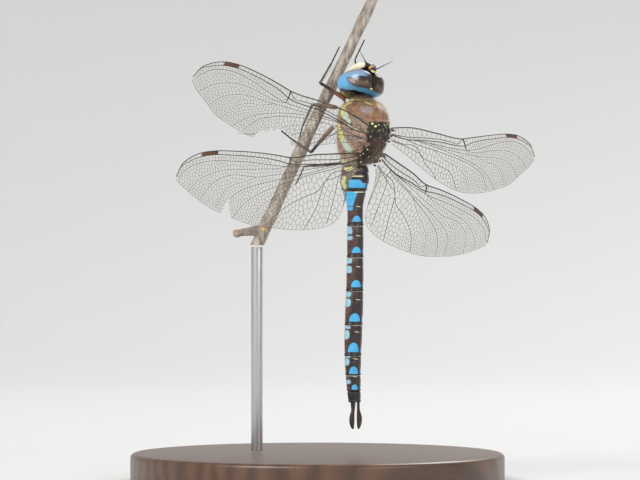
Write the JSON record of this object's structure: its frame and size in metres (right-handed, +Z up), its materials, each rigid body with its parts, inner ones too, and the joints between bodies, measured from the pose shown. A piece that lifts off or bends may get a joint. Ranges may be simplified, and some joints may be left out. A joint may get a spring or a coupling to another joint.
{
  "type": "male migrant hawker dragonfly",
  "caption": "Life-size model of a male migrant hawker dragonfly hanging under a cut length of twig, held by a rod on a round base.",
  "frame": {"origin": "centre of the round base's underside, on the surface that the base stands on", "axes": "+Z up, along the hanging body from tail to head; the back of the dragonfly faces -Y and its left wings point to -X"},
  "size_m": [0.0821, 0.064, 0.084],
  "materials": {
    "stand_wood": "dark stained hardwood, satin lacquer",
    "stand_steel": "fine brushed steel",
    "twig_bark": "weathered grey-beige bark with lichen",
    "thorax_brown": "hairy brown insect cuticle with yellow-green and pale blue side stripes",
    "cuticle_dark": "satin dark brown cuticle with blue, cream and yellow markings",
    "eye_blue": "glossy faceted eye, sky blue below to bronze brown above",
    "face_cream": "satin cream-yellow cuticle with black marks",
    "wing_clear": "thin clear membrane with dark brown veins",
    "leg_black": "satin black cuticle"
  },
  "bodies": {
    "root": {"stand_base": "stand_wood", "stand_rod": "stand_steel", "perch_twig": "twig_bark", "synthorax": "thorax_brown", "prothorax": "thorax_brown", "abdomen_01": "cuticle_dark", "abdomen_02": "cuticle_dark", "abdomen_03": "cuticle_dark", "abdomen_04": "cuticle_dark", "abdomen_05": "cuticle_dark", "abdomen_06": "cuticle_dark", "abdomen_07": "cuticle_dark", "abdomen_08": "cuticle_dark", "abdomen_09": "cuticle_dark", "abdomen_10": "cuticle_dark", "cercus_left": "cuticle_dark", "cercus_right": "cuticle_dark", "epiproct": "cuticle_dark", "head": "cuticle_dark", "eye_left": "eye_blue", "eye_right": "eye_blue", "face": "face_cream", "labium": "face_cream", "wing_fore_left": "wing_clear", "wing_fore_right": "wing_clear", "wing_hind_left": "wing_clear", "wing_hind_right": "wing_clear", "antenna_left": "leg_black", "antenna_right": "leg_black", "femur_front_left": "leg_black", "tibia_front_left": "leg_black", "tarsus_front_left": "leg_black", "femur_front_right": "leg_black", "tibia_front_right": "leg_black", "tarsus_front_right": "leg_black", "femur_mid_left": "leg_black", "tibia_mid_left": "leg_black", "tarsus_mid_left": "leg_black", "femur_mid_right": "leg_black", "tibia_mid_right": "leg_black", "tarsus_mid_right": "leg_black", "femur_hind_left": "leg_black", "tibia_hind_left": "leg_black", "tarsus_hind_left": "leg_black", "femur_hind_right": "leg_black", "tibia_hind_right": "leg_black", "tarsus_hind_right": "leg_black"}
  },
  "joints": []
}
